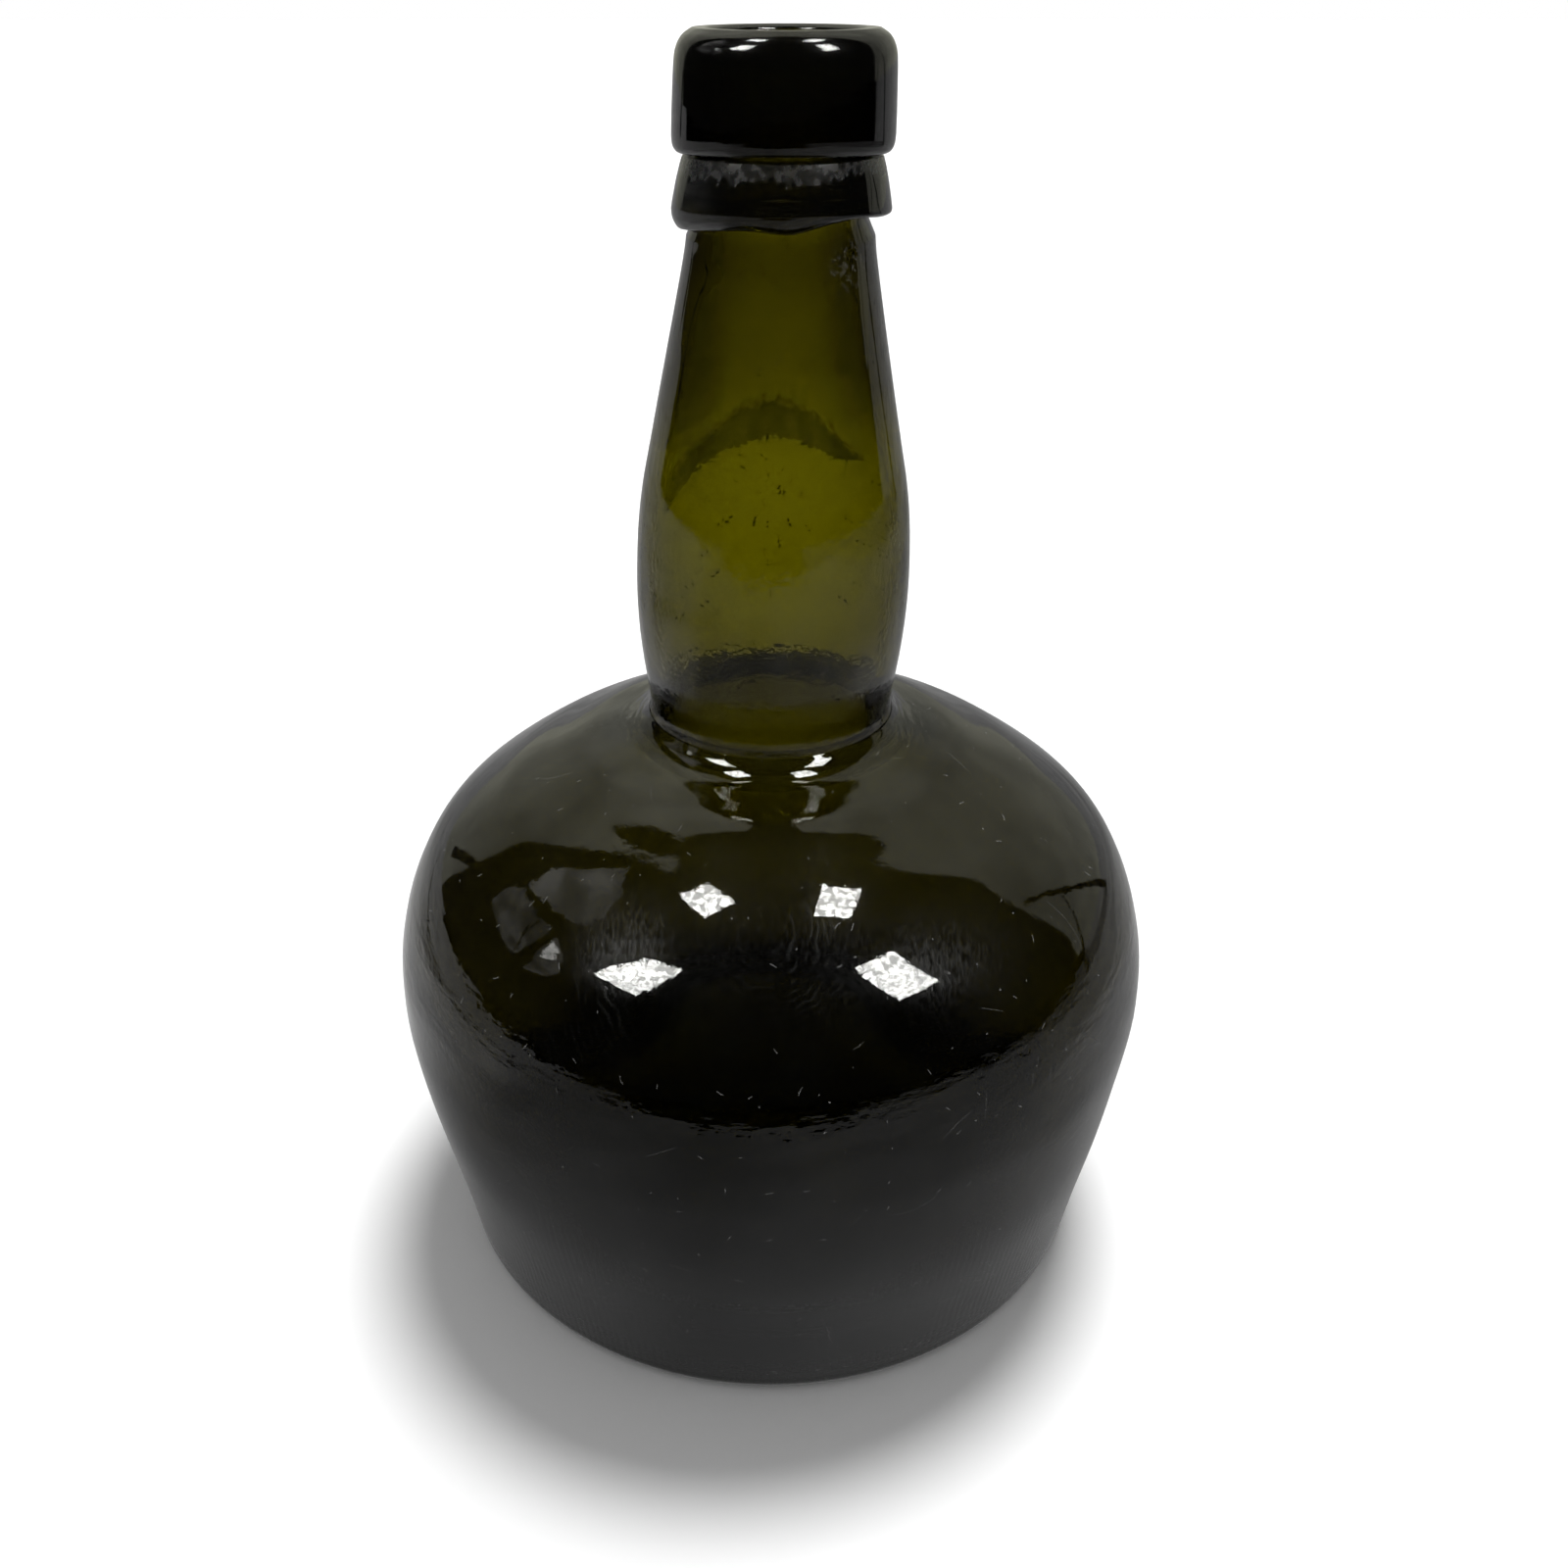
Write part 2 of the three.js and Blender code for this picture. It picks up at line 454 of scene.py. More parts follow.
# Relief of the bowl, in millimetres
WAVE_DEPTH = 0.06
FOLD_DEPTH = 0.03  # fine folds where the shoulder was pinched to the neck
WRINKLE_DEPTH = 0.09  # the band that breaks up the mirrored edge round the belly
RIB_DEPTH = 0.008  # turning marks near the foot
SCORE_DEPTH = 0.005
PEEL_DEPTH = 0.035  # orange peel on the belly
PEEL_DEPTH_ABOVE = 0.008
PIT_DEPTH = 0.06

# Share of light that the dirt on the bowl scatters, and the pale stripes of a painted reflection on its
# ribs
LINT_HAZE = 0.16
HAIR_HAZE = 0.07
FILM_HAZE = 0.0012
DUST_HAZE = 0.005
# pale stripes along the ribs: a painted reflection of a woven cloth
RIB_WEAVE_REFLECTION = 0.0015
SMEAR_HAZE = 0.007
WORN_HAZE = 0.08
WORN_ROUGH = 0.3
RIB_TURNS = 290  # radians of ribbing to a radian round the bowl
# painted shade: how far the crease under the neck's foot is darkened on the front
PAINTED_THROAT_SHADE = 0.6
MARK_RADIUS = 0.062  # turns an angle round the bowl into a length along it


def bowl_surface(tree, at):
    waves = noise(tree, at, 48, 1)
    turns = total(tree, product(tree, at.angle, RIB_TURNS), product(tree, waves, 6))
    ribbed = maths(tree, "SINE", turns)
    low = ramp(tree, at.z, 0.05, 0.02)
    smear = smears(tree, at)
    lint, hairs = fallen(tree, at)
    worn = product(tree, ramp(tree, at.z, 0.0016, 0), ramp(tree, noise(tree, at, 500, 1), -0.2, 0.1))
    height = total(
        tree, folds(tree, at), belly_relief(tree, at),
        product(tree, ribbed, ramp(tree, at.z, 0.04, 0.012), RIB_DEPTH),
        product(tree, noise(tree, at, (60, 60, 1300), 1), SCORE_DEPTH),
        product(tree, waves, WAVE_DEPTH))
    film = ramp(tree, noise(tree, at, 90, 3), -0.1, 0.3)
    dusty = ramp(tree, noise(tree, at, (26, 26, 60), 4), -0.12, 0.2)
    haze = total(
        tree, product(tree, lint, LINT_HAZE), product(tree, hairs, HAIR_HAZE),
        product(tree, film, FILM_HAZE), product(tree, low, dusty, DUST_HAZE),
        # Painted reflection of a woven cloth, as pale stripes on the ribs near the foot.
        product(tree, low, ramp(tree, ribbed, -1, 1), RIB_WEAVE_REFLECTION),
        product(tree, smear, SMEAR_HAZE), product(tree, worn, WORN_HAZE))
    # Painted shade in the crease under the neck's foot, on the front side only.
    painted_throat_shade = product(
        tree, window(tree, at.z, 0.085, 0.0958, 0.002), maths(tree, "LESS_THAN", at.radius, 0.0215),
        ramp(tree, at.y, 0, -0.01), PAINTED_THROAT_SHADE)
    return Surface(height, haze, product(tree, worn, WORN_ROUGH), smear, painted_throat_shade)


def folds(tree, at):
    """Fine rings of folds in the crease at the neck's foot, at its left and right."""
    crease = window(tree, at.radius, 0.0196, 0.0245, 0.001)
    sides = total(tree, near(tree, at, (-21, 2, 94), 12), near(tree, at, (22, 0, 94), 14))
    bent = product(tree, noise(tree, at, 260, 0), 9)
    ripple = maths(tree, "SINE", total(tree, product(tree, at.radius, 4200), bent))
    return product(tree, ripple, crease, sides, FOLD_DEPTH)


def belly_relief(tree, at):
    """Wrinkles just above the widest part, orange peel and one group of pits."""
    wrinkled = window(tree, at.z, 0.0565, 0.066, 0.005)
    wrinkles = product(tree, noise(tree, at, (160, 160, 600), 2), wrinkled, WRINKLE_DEPTH)
    peeled = ramp(tree, at.z, 0.064, 0.071, PEEL_DEPTH, PEEL_DEPTH_ABOVE)
    peel = product(tree, noise(tree, at, 850, 2), ramp(tree, at.z, 0.03, 0.055), peeled)
    pitted = near(tree, at, (37, -45, 61), 9)
    pits = product(tree, ramp(tree, noise(tree, at, 420, 1), 0.1, 0.16), pitted, -PIT_DEPTH)
    return total(tree, wrinkles, peel, pits)


def fallen(tree, at):
    """Lint and dust in short marks, and a few long hairs and scratches. The marks are laid out
    by angle and height on the wall, and by x and y on the top of the shoulder."""
    top = maths(tree, "GREATER_THAN", at.z, 0.078)
    across = mixed(tree, top, product(tree, at.angle, MARK_RADIUS), at.x)
    up = mixed(tree, top, at.z, at.y)
    short = strokes(tree, across, up, 5, 1.1, 0.15, 0.24)
    speck = strokes(tree, total(tree, across, 0.3), up, 4, 0.3, 0.24, 0.2)
    long = strokes(tree, total(tree, across, 0.7), up, 14, 6, 0.12, 0.35)
    off_foot = ramp(tree, at.z, 0.003, 0.005)
    return product(tree, maths(tree, "MAXIMUM", short, speck), off_foot), product(tree, long, off_foot)


THUMB_AT = (-1, -45, 80)  # where the largest finger mark is centred
CLOUD_SHARE = 0.5
STREAK_SHARE = 0.28


def smears(tree, at):
    """Finger marks on the front of the shoulder: clouded patches and broken rings."""
    cloud = ramp(tree, noise(tree, at, (2200, 500, 1300), 4), -0.25, 0.3)
    clouded = total(
        tree, near(tree, at, (29, -45, 77), 15), near(tree, at, (-22, -44, 80), 11),
        product(tree, near(tree, at, (2, -44, 80), 26), 0.25))
    thumb = add(tree, "ShaderNodeVectorMath", {
        0: at.where, 1: tuple(c * MM for c in THUMB_AT),
    }, operation="SUBTRACT").outputs[0]
    rings = add(tree, "ShaderNodeTexWave", {
        "Vector": thumb, "Scale": 280, "Distortion": 9, "Detail": 2, "Detail Scale": 0.7,
    }, wave_type="RINGS", rings_direction="SPHERICAL").outputs["Fac"]
    ringed = total(tree, near(tree, at, (3, -48, 78), 13), near(tree, at, (-26, -50, 72), 11))
    broken = ramp(tree, noise(tree, at, (420, 160, 260), 3), -0.06, 0.14)
    streaks = product(tree, ramp(tree, rings, 0.5, 1), ringed, broken, STREAK_SHARE)
    return maths(tree, "MINIMUM", total(tree, product(tree, cloud, clouded, CLOUD_SHARE), streaks), 1)


# Relief of the neck, in millimetres
DRAWN_DEPTH = 0.022  # long lines from drawing the neck out
PEBBLE_DEPTH = 0.05
GRAIN_DEPTH = 0.032
SWELL_DEPTH = 0.035
SCRATCH_HAZE = 0.05
PATCH_HAZE = 0.06
PATCH_ROUGH = 0.2
DARKEST = 0.95
NECK_MARK_RADIUS = 0.02


def neck_surface(tree, at):
    height = total(
        tree, product(tree, noise(tree, at, (420, 420, 16), 2), DRAWN_DEPTH),
        product(tree, noise(tree, at, (380, 380, 240), 1), ramp(tree, at.z, 0.15, 0.11), PEBBLE_DEPTH),
        product(tree, noise(tree, at, 1300, 1), ramp(tree, at.z, 0.14, 0.125), GRAIN_DEPTH),
        product(tree, noise(tree, at, 75, 1), SWELL_DEPTH))
    across = product(tree, at.angle, NECK_MARK_RADIUS)
    seeds = strokes(tree, across, at.z, 4, 0.6, 0.42, 0.35)
    specks = strokes(tree, total(tree, across, 0.5), at.z, 2.4, 0.5, 0.4, 0.35)
    specks = product(tree, specks, window(tree, at.z, 0.1225, 0.133, 0.002))
    scratch = strokes(tree, total(tree, across, 0.2), at.z, 9, 2.5, 0.12, 0.2)
    patch = product(
        tree, ramp(tree, noise(tree, at, 1500, 3), 0, 0.14), near(tree, at, (10.5, -9.5, 165.5), 5.5))
    haze = total(tree, product(tree, patch, PATCH_HAZE), product(tree, scratch, SCRATCH_HAZE))
    dark = maths(tree, "MINIMUM", total(tree, seeds, specks, dark_arch_and_side_shade(tree, at)), DARKEST)
    return Surface(height, haze, product(tree, patch, PATCH_ROUGH), 0.0, dark)


ARCH_BOW = 36  # how far the arch's sides hang, in metres for each square metre off the middle
ARCH_RAGGED = 0.004
# share of painted shade on the neck's left and right sides
SIDE_SHADE = 0.3


def dark_arch_and_side_shade(tree, at):
    """A dark band in an arch inside the back of the neck, ragged below and streaky, and painted shade
    inside the neck towards its left and right, from about the arch upwards.
    """
    ragged = product(tree, noise(tree, at, 1100, 2), ARCH_RAGGED)
    bowed = total(tree, at.z, product(tree, at.x, at.x, ARCH_BOW), ragged)
    band = product(tree, ramp(tree, bowed, 0.1364, 0.1369), ramp(tree, bowed, 0.1438, 0.141))
    streaky = ramp(tree, noise(tree, at, (300, 300, 12), 2), -0.2, 0.2, 0.78, DARKEST)
    arch = product(tree, band, ramp(tree, at.y, 0.001, 0.007), streaky)
    # Painted shade towards the neck's left and right sides.
    aside = maths(tree, "ABSOLUTE", maths(tree, "SUBTRACT", at.x, LEAN * MM / 3))
    high = ramp(tree, at.z, 0.132, 0.142)
    sides = product(tree, ramp(tree, aside, 0.006, 0.0125), high, SIDE_SHADE)
    inner = maths(tree, "LESS_THAN", at.radius, 0.0178)
    return product(tree, inner, maths(tree, "MAXIMUM", arch, sides))


# Relief of the trail and the lip in millimetres, and their weathered seam
TRAIL_SWELL_DEPTH = 0.03
TRAIL_TOOL_DEPTH = 0.012
SEAM_TEETH = 0.003
SEAM_WANDER = 0.0025
SEAM_HAZE = 0.03
SEAM_ROUGH = 0.3
MOUTH_ROUGH = 0.07
TRAIL_SMEAR = 0.03


def trail_surface(tree, at):
    height = total(
        tree, product(tree, noise(tree, at, 110, 1), TRAIL_SWELL_DEPTH),
        product(tree, noise(tree, at, (90, 90, 700), 1), TRAIL_TOOL_DEPTH))
    teeth = product(tree, noise(tree, at, (900, 900, 500), 3), SEAM_TEETH)
    ragged = total(tree, at.z, teeth, product(tree, noise(tree, at, 140, 0), SEAM_WANDER))
    grain = ramp(tree, noise(tree, at, (1100, 1100, 900), 4), -0.2, 0.2, 0.35, 1)
    seam = product(tree, window(tree, ragged, 0.1769, 0.1796, 0.0003), grain)
    spotted = product(tree, grain, near(tree, at, (-11, -9, 175), 7), 0.6)
    dusty = maths(tree, "MAXIMUM", seam, spotted)
    collar = maths(tree, "LESS_THAN", at.z, LIP_LOW_Z * MM)
    haze = product(tree, dusty, collar, SEAM_HAZE)
    soft = product(tree, ramp(tree, at.z, 0.1875, 0.1905), MOUTH_ROUGH)
    rough = total(tree, product(tree, dusty, collar, SEAM_ROUGH), soft)
    return Surface(height, haze, rough, TRAIL_SMEAR, 0.0)


def glass_material(name, takes, surface):
    """Clear tinted glass. Where it runs on into its neighbour light passes straight through,
    so the index is linked to the faces' attribute."""
    material, tree = new_material(name)
    look = surface(tree, place(tree))
    fused = add(tree, "ShaderNodeAttribute", attribute_name="fused").outputs["Fac"]
    free = maths(tree, "SUBTRACT", 1, fused)
    inputs = {
        "Base Color": CLEAR,
        "Roughness": product(tree, free, total(tree, look.rough, POLISH)),
        "IOR": mixed(tree, fused, GLASS_IOR, 1.0),
        "Transmission Weight": maths(tree, "SUBTRACT", 1, product(tree, free, look.haze)),
    }
    # Specks, seeds and the dark arch darken the colour, and so does painted shade.
    if look.dark:
        inputs["Base Color"] = mixed_colour(tree, product(tree, free, look.dark), CLEAR, SPECK_AND_SHADE_DARK)
    if look.smear:
        inputs["Coat Weight"] = product(tree, free, look.smear)
        inputs["Coat Roughness"] = SMEAR_ROUGH
    shade_glass(tree, inputs, look.height, takes)
    return material


SCAR_DEPTH = 0.05
SCAR_HAZE = 0.2
SCAR_ROUGH = 0.33


def broken_material(name, takes):
    """Rough broken glass, which runs on into nothing."""
    material, tree = new_material(name)
    inputs = {
        "Base Color": CLEAR, "Roughness": SCAR_ROUGH, "IOR": GLASS_IOR,
        "Transmission Weight": 1 - SCAR_HAZE,
    }
    height = product(tree, noise(tree, place(tree), 900, 4), SCAR_DEPTH)
    shade_glass(tree, inputs, height, takes)
    return material


def shade_glass(tree, inputs, height, takes):
    """Surface with relief, and what the glass takes from each colour on the way through."""
    relief = add(tree, "ShaderNodeBump", {"Height": height, "Strength": 1, "Distance": MM})
    inputs["Normal"] = relief.outputs[0]
    shader = add(tree, "ShaderNodeBsdfPrincipled", inputs)
    density = max(takes)
    absorb = add(tree, "ShaderNodeVolumeAbsorption", {
        "Color": (*[1 - t / density for t in takes], 1), "Density": density,
    })
    out = add(tree, "ShaderNodeOutputMaterial")
    tree.links.new(shader.outputs[0], out.inputs["Surface"])
    tree.links.new(absorb.outputs[0], out.inputs["Volume"])


# Surroundings. Mirror rays see the tent and its seams, all others see plain white or soft fill.

BACK_TINT = (1, 1, 0.84, 1)
TENT_LEFT = 0.33  # the tent's level at the far left
TENT_NEAR_LEFT = 0.52
TENT_FALL = -0.14  # what it changes by from there to the right
TENT_HIGH = 0.27  # what it gains overhead
TENT_GAP = 0.06  # how far the dark front reaches in between the tent's halves
TENT_EDGE = 0.01  # half the softness of the tent's edge
DARK_FRONT = 0.012
FILL = 0.4  # the soft light on dull surfaces

Rays = namedtuple("Rays", "camera through mirrored")


def rays(tree):
    """Tells rays from the camera, rays that come on through glass, and mirrored rays."""
    path = add(tree, "ShaderNodeLightPath").outputs
    camera, through = path["Is Camera Ray"], path["Is Transmission Ray"]
    unbent = maths(tree, "SUBTRACT", 1, maths(tree, "MAXIMUM", camera, through))
    return Rays(camera, through, maths(tree, "MULTIPLY", path["Is Glossy Ray"], unbent))


def tent_level(tree, x, y, z, waves):
    """How bright the surroundings look in a mirror: a pale tent behind, dark in front.
    The edge between them is how far forward the tent reaches in each direction."""
    right = total(tree, product(tree, z, 0.11), product(tree, x, 0.21))
    beyond = maths(tree, "MAXIMUM", total(tree, product(tree, x, -1), -0.36), 0)
    left = total(tree, product(tree, beyond, 0.95), 0.15)
    gap = product(tree, window(tree, x, -0.06, 0.08, 0.05), TENT_GAP)
    wavy = product(tree, waves, 2 * TENT_EDGE)
    edge = total(tree, maths(tree, "MAXIMUM", right, left), gap, wavy, -TENT_EDGE)
    behind = ramp(tree, maths(tree, "SUBTRACT", y, edge), -TENT_EDGE, TENT_EDGE)
    level = total(
        tree, ramp(tree, x, -0.72, -0.4, TENT_LEFT, TENT_NEAR_LEFT),
        ramp(tree, x, -0.4, 0.4, 0, TENT_FALL), ramp(tree, z, 0.5, 0.9, 0, TENT_HIGH))
    level = product(tree, level, ramp(tree, waves, 0.25, 0.75, 0.8, 1.2))
    return mixed(tree, behind, DARK_FRONT, level)


def make_world():
    """White to the camera and behind the glass, the tent in mirrors, soft fill elsewhere."""
    world = bpy.data.worlds.new("studio")
    bpy.context.scene.world = world
    world.use_nodes = True
    tree = world.node_tree
    tree.nodes.clear()
    towards = add(tree, "ShaderNodeTexCoord").outputs["Generated"]
    x, y, z = add(tree, "ShaderNodeSeparateXYZ", {0: towards}).outputs
    waves = add(tree, "ShaderNodeTexNoise", {"Vector": towards, "Scale": 5, "Detail": 3}).outputs["Fac"]
    tent = tent_level(tree, x, y, z, waves)
    ray = rays(tree)
    strength = mixed(tree, ray.mirrored, FILL, tent)
    backdrop = product(tree, ramp(tree, y, -0.1, 0.15), ramp(tree, z, 0.45, 0.25))
    strength = mixed(tree, ray.through, strength, mixed(tree, backdrop, tent, 1.0))
    strength = mixed(tree, ray.camera, strength, 1.0)
    tint = mixed_colour(tree, ray.mirrored, CLEAR, BACK_TINT)
    shader = add(tree, "ShaderNodeBackground", {"Color": tint, "Strength": strength})
    out = add(tree, "ShaderNodeOutputWorld")
    tree.links.new(shader.outputs[0], out.inputs["Surface"])


SHEET_FRONT = -0.46  # where the pale sheet under the bottle ends
SHEET_RIGHT = 0.5
SHEET_LEFT = -1.3
SHEET_FADE = 0.03
BESIDE_LEFT = 0.52  # mirror levels of the sheet beside the bottle and in front of it
BESIDE_RIGHT = 0.43
BESIDE_FAR = 0.68  # share left of them further out
FRONT_LEFT = 0.23
FRONT_RIGHT = 0.3
DISTANT_LEFT = 0.36  # the ground behind the bottle, beyond a metre
DISTANT_RIGHT = 0.28
# painted shadow beside the foot: the share of the mirror level left there, and how far it reaches
FOOT_SHADOW = 0.75  # share left close to the foot
FOOT_SHADOW_REACH = 0.013
MOTTLE = 0.25
ROOM_LEVEL = 0.14  # the floor beyond the sheet, to the left and right of the camera
FLOOR_HALF = 6
FLOOR_COLOUR = 0.8


def floor_mirror_level(tree, where, x, y):
    """How bright the floor looks in a mirror: a pale sheet that ends in front and at the sides.
    Behind two lines that fan out from the foot it is paler, and its far part and the room
    beyond it have levels of their own. Where it meets the foot it is darkened by a painted shadow."""
    mottle = noise(tree, Place(where, x, y, 0, 0, 0), 9, 5)
    wavy = total(tree, y, product(tree, mottle, 0.1))
    sheet = product(
        tree, ramp(tree, wavy, SHEET_FRONT - 0.01, SHEET_FRONT + 0.01),
        ramp(tree, x, SHEET_RIGHT + SHEET_FADE, SHEET_RIGHT - SHEET_FADE),
        ramp(tree, x, SHEET_LEFT - 0.05, SHEET_LEFT + 0.05))
    right = product(tree, x, -0.65)
    left = total(tree, product(tree, x, 0.97), 0.033)
    swept = ramp(tree, total(tree, y, maths(tree, "MINIMUM", right, left)), 0.0, 0.02)
    flank = ramp(tree, total(tree, y, product(tree, maths(tree, "ABSOLUTE", x), 0.8)), 0.03, 0.12)
    away = add(tree, "ShaderNodeVectorMath", {0: where}, operation="LENGTH").outputs["Value"]
    beside = product(
        tree, ramp(tree, x, -0.2, 0.2, BESIDE_LEFT, BESIDE_RIGHT),
        ramp(tree, away, 0.2, 0.3, 1, BESIDE_FAR))
    front = ramp(tree, x, -0.06, 0.06, FRONT_LEFT, FRONT_RIGHT)
    level = mixed(tree, maths(tree, "MAXIMUM", swept, flank), front, beside)
    wings = maths(
        tree, "MAXIMUM", ramp(tree, total(tree, x, product(tree, y, 0.33)), 0, 0.15),
        ramp(tree, total(tree, product(tree, x, -1), product(tree, y, 0.75)), 0, 0.15))
    room = product(tree, ROOM_LEVEL, wings, ramp(tree, away, 1.1, 1.0))
    level = mixed(tree, maths(tree, "MAXIMUM", sheet, swept), room, level)
    behind = total(tree, y, product(tree, x, ramp(tree, x, -0.01, 0.01, 0.5, -0.25)))
    distant = product(
        tree, ramp(tree, behind, -0.05, 0.05),
        ramp(tree, x, -0.5, 0.5, DISTANT_LEFT, DISTANT_RIGHT), ramp(tree, away, 0.9, 1.1))
    level = maths(tree, "MAXIMUM", level, distant)
    # Painted shadow: the mirror level darkens close to the foot.
    foot = FOOT_OUT_R * MM
    level = product(tree, level, ramp(tree, away, foot, foot + FOOT_SHADOW_REACH, FOOT_SHADOW, 1))
    return product(tree, level, ramp(tree, mottle, -0.25, 0.25, 1 - MOTTLE, 1 + MOTTLE))


def make_floor():
    """A pale floor. From below it is clear, so that the bottle's base shows."""
    material, tree = new_material("floor")
    geometry = add(tree, "ShaderNodeNewGeometry").outputs
    where, below = geometry["Position"], geometry["Backfacing"]
    x, y, _ = add(tree, "ShaderNodeSeparateXYZ", {0: where}).outputs
    ray = rays(tree)
    shader = add(tree, "ShaderNodeBsdfDiffuse", {"Color": mixed(tree, ray.camera, FLOOR_COLOUR, 1.0)})
    gloss = add(tree, "ShaderNodeEmission", {"Strength": floor_mirror_level(tree, where, x, y)})
    both = add(tree, "ShaderNodeMixShader", {
        0: ray.mirrored, 1: shader.outputs[0], 2: gloss.outputs[0],
    })
    clear = add(tree, "ShaderNodeBsdfTransparent")
    sided = add(tree, "ShaderNodeMixShader", {0: below, 1: both.outputs[0], 2: clear.outputs[0]})
    out = add(tree, "ShaderNodeOutputMaterial")
    tree.links.new(sided.outputs[0], out.inputs["Surface"])
    h = FLOOR_HALF
    corners = [(-h, -h, 0), (h, -h, 0), (h, h, 0), (-h, h, 0)]
    stage_sheet("floor", corners, material)


def stage_sheet(name, corners, material):
    """One flat face of the surroundings, through corners in metres."""
    mesh = bpy.data.meshes.new(name)
    mesh.from_pydata(corners, [], [range(len(corners))])
    sheet = bpy.data.objects.new(name, mesh)
    bpy.context.collection.objects.link(sheet)
    mesh.materials.append(material)
    return sheet


PANEL_Z = 0.6
PANELS = (  # corners of the lamps in millimetres, seen from above
    ((-198, -30), (-126, -6), (-77, -69), (-153, -134)),
    ((101, -13), (188, -12), (177, -127), (88, -127)),
    ((-537, -229), (-323, -193), (-215, -251), (-422, -385)),
    ((205, -254), (298, -176), (533, -296), (443, -461)),
)
PANEL_STRENGTH = 30
WEAVE_SCALE = 80  # cells of the lamps' cloth to a metre
CLOUD_SCALE = 7
THROUGH_SHARE = 0.15  # what is left of the lamps' light when seen through glass
SEAM_LEVEL = 0.02
CARD_RAGGED = 0.012
LAMP_COLOUR = (1, 1, 0.97, 1)
CARDS = (  # level, outline
    (0.6, ((-733, 245), (-528, 178), (-312, 88), (-351, -17), (-419, -42), (-527, -16), (-618, 87))),
    (0.32, ((-1068, 400), (-829, 319), (-726, 195), (-659, 56), (-600, -2), (-1229, -29))),
    (0.35, ((-610, -40), (-614, -131), (-755, -220), (-1021, -265), (-1229, -164))),
    (4, ((-640, -50), (-620, -90), (-690, -125), (-800, -110), (-740, -65))),
)
SEAMS = (  # points, then half the width at the first and at the last, all in millimetres
    (((560, 380, 2), (636, 345, 176), (636, 285, 288), (620, 226, 378), (600, 148, 454)), 14, 5),
    (((529, 81, 2), (723, 150, 50), (706, 185, 164), (640, 250, 320)), 7, 3),
    (((-540, 440, 130), (-591, 381, 258), (-598, 305, 349)), 15, 9),
    (((-480, 420, 2), (-320, 200, 2), (-300, 120, 2), (-330, -10, 2), (-290, -140, 2),
      (-250, -250, 2)), 2, 3),
    (((-650, 56, 580), (-745, 66, 580), (-900, 20, 580), (-1200, -33, 580)), 5, 5),
)


def lit(name, strength, woven):
    """A glowing surface, mottled or with a fine weave, dimmer when it is seen through glass."""
    material, tree = new_material(name)
    where = add(tree, "ShaderNodeTexCoord").outputs["Object"]
    if woven:
        cells = {"Vector": where, "Scale": WEAVE_SCALE}
        weave = add(tree, "ShaderNodeTexVoronoi", cells).outputs["Distance"]
        strength = ramp(tree, weave, 0.3, 0.65, strength * 1.2, strength * 0.35)
    else:
        spread = {"Vector": where, "Scale": CLOUD_SCALE}
        clouds = add(tree, "ShaderNodeTexNoise", spread).outputs["Fac"]
        strength = ramp(tree, clouds, 0.35, 0.65, strength * 0.5, strength * 1.4)
    strength = product(tree, strength, ramp(tree, rays(tree).through, 0, 1, 1, THROUGH_SHARE))
    shader = add(tree, "ShaderNodeEmission", {"Color": LAMP_COLOUR, "Strength": strength})
    out = add(tree, "ShaderNodeOutputMaterial")
    tree.links.new(shader.outputs[0], out.inputs["Surface"])
    return material


def mirror_only(sheet):
    """Leaves a sheet to mirrored and refracted rays."""
    sheet.visible_camera = sheet.visible_diffuse = sheet.visible_shadow = False


def make_panels():
    lamp = lit("lamp_panel", PANEL_STRENGTH, True)
    for number, corners in enumerate(PANELS):
        points = [(x * MM, y * MM, PANEL_Z) for x, y in corners]
        mirror_only(stage_sheet(f"lamp_panel_{number}", points, lamp))
    for number, (level, corners) in enumerate(CARDS):
        card = lit(f"grey_card_{number}", level, False)
        outline = ragged([(x * MM, y * MM, PANEL_Z - number * MM) for x, y in corners])
        mirror_only(stage_sheet(f"grey_card_{number}", outline, card))
    seam = lit("tent_seam", SEAM_LEVEL, False)
    for number, (line, first, last) in enumerate(SEAMS):
        mirror_only(stage_sheet(f"tent_seam_{number}", ribbon(line, first, last), seam))


def ragged(corners):
    """The outline with uneven steps along each side."""
    chance = np.random.default_rng(len(corners))
    points = []
    for a, b in zip(corners, corners[1:] + corners[:1]):
        for share in (0, 0.25, 0.5, 0.75):
            point = Vector(a).lerp(Vector(b), share)
            points.append(point + Vector((*chance.uniform(-CARD_RAGGED, CARD_RAGGED, 2), 0)))
    return points


def ribbon(line, first, last):
    """A strip along the line that shows its breadth to the bottle."""
    points = [Vector(p) * MM for p in line]
    eye = Vector((0, 0, BELLY_R * MM))
    left, right = [], []
    for i, point in enumerate(points):
        along = points[min(i + 1, len(points) - 1)] - points[max(i - 1, 0)]
        half = (first + (last - first) * i / (len(points) - 1)) * MM
        side = along.cross(point - eye).normalized() * half
        left.append(point + side)
        right.append(point - side)
    return left + right[::-1]


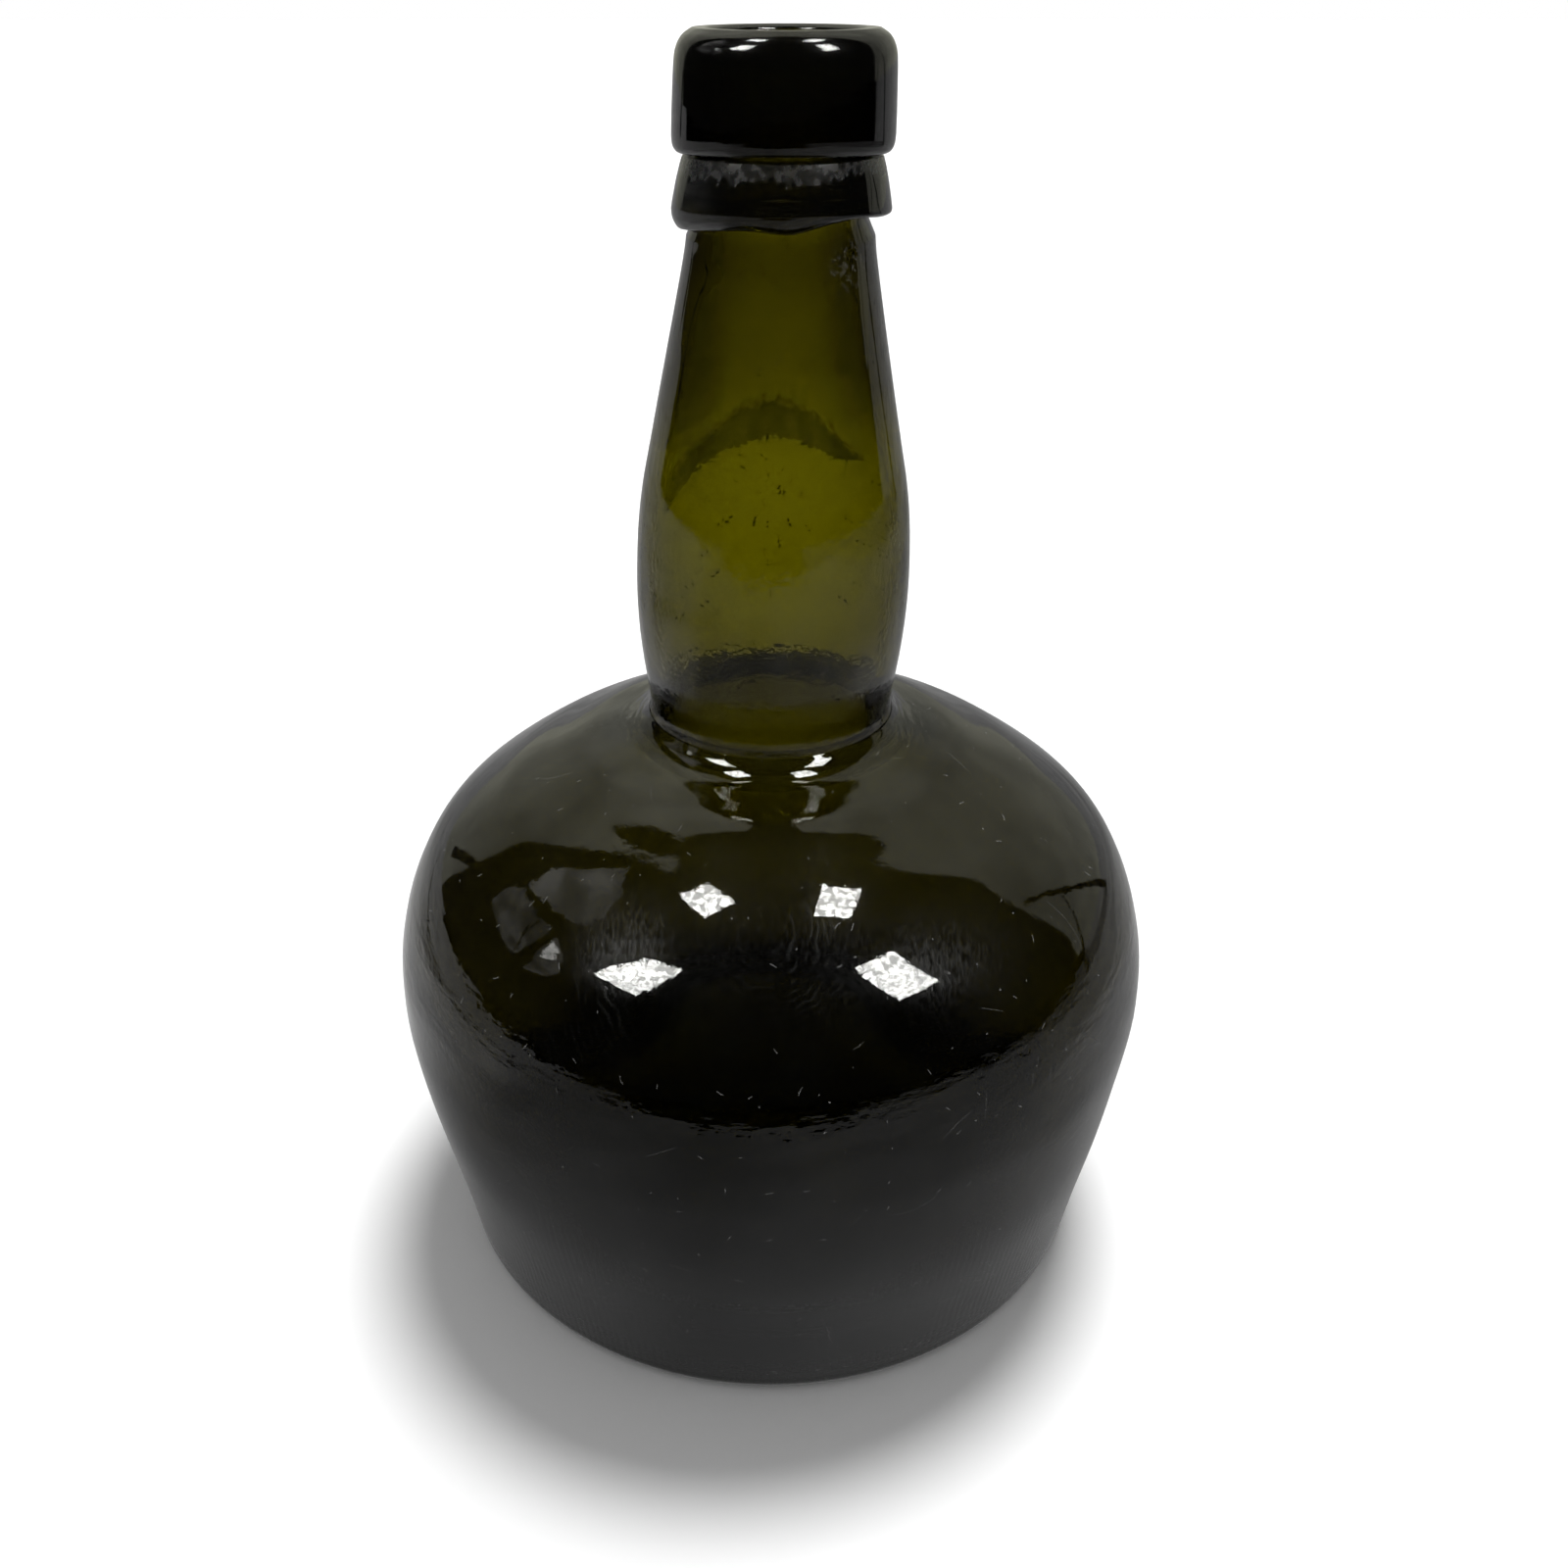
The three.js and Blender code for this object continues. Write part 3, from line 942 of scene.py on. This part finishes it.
SUN_FROM = (0.13, 0.3, 1)
SUN_ENERGY = 2.8
SUN_ANGLE = 20  # degrees across, for a soft shadow


def make_sun():
    """The softbox that throws the shadow. Mirrors and glass show the lamp panels in its place."""
    sun = bpy.data.lights.new("softbox", "SUN")
    sun.energy = SUN_ENERGY
    sun.angle = math.radians(SUN_ANGLE)
    lamp = bpy.data.objects.new("softbox", sun)
    bpy.context.collection.objects.link(lamp)
    lamp.rotation_euler = Vector(SUN_FROM).to_track_quat("Z", "Y").to_euler()
    lamp.visible_glossy = lamp.visible_transmission = False


def make_camera():
    """The photograph's camera."""
    data = bpy.data.cameras.new("camera")
    data.lens = CAMERA_LENS
    data.sensor_width = CAMERA_SENSOR
    data.shift_x = CAMERA_SHIFT
    camera = bpy.data.objects.new("camera", data)
    bpy.context.collection.objects.link(camera)
    camera.location = CAMERA_AT
    camera.rotation_euler = (math.radians(90 - CAMERA_PITCH), 0, 0)
    data.clip_start, data.clip_end = 0.01, 50
    bpy.context.scene.camera = camera


make_camera()
make_world()
make_floor()
make_sun()
make_panels()

bowl = glass_material("olive_bowl", BOWL_TAKES, bowl_surface)
neck = glass_material("olive_neck", NECK_TAKES, neck_surface)
trail = glass_material("olive_trail", TRAIL_TAKES, trail_surface)
broken = broken_material("broken_glass", BOWL_TAKES)
PIECES = (  # node, piece, outline, rules, sides, joins, material, slot
    ("body", "bowl_glass", body_outline(), [waver], 256, body_joins, bowl, "bowl_glass"),
    ("neck", "neck_glass", neck_outline(), [waver, lean], 192, neck_joins, neck, "neck_glass"),
    ("string_collar", "collar_trail", collar_outline(), [wander, skew, lean], 192, collar_joins,
     trail, "trail_glass"),
    ("lip_band", "lip_glass", lip_outline(), [skew, lean], 192, lip_joins, trail, "trail_glass"),
    ("pontil_scar", "pontil_ring", scar_outline(), [jagged], 128, scar_joins, broken, "scar_glass"),
)
for node, name, outline, rules, sides, joins, material, slot in PIECES:
    piece = turned(name, outline, rules, sides, joins)
    piece.data.materials.append(material)
    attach(piece, "root")
    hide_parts(node)

bpy.context.scene.view_settings.view_transform = "Standard"
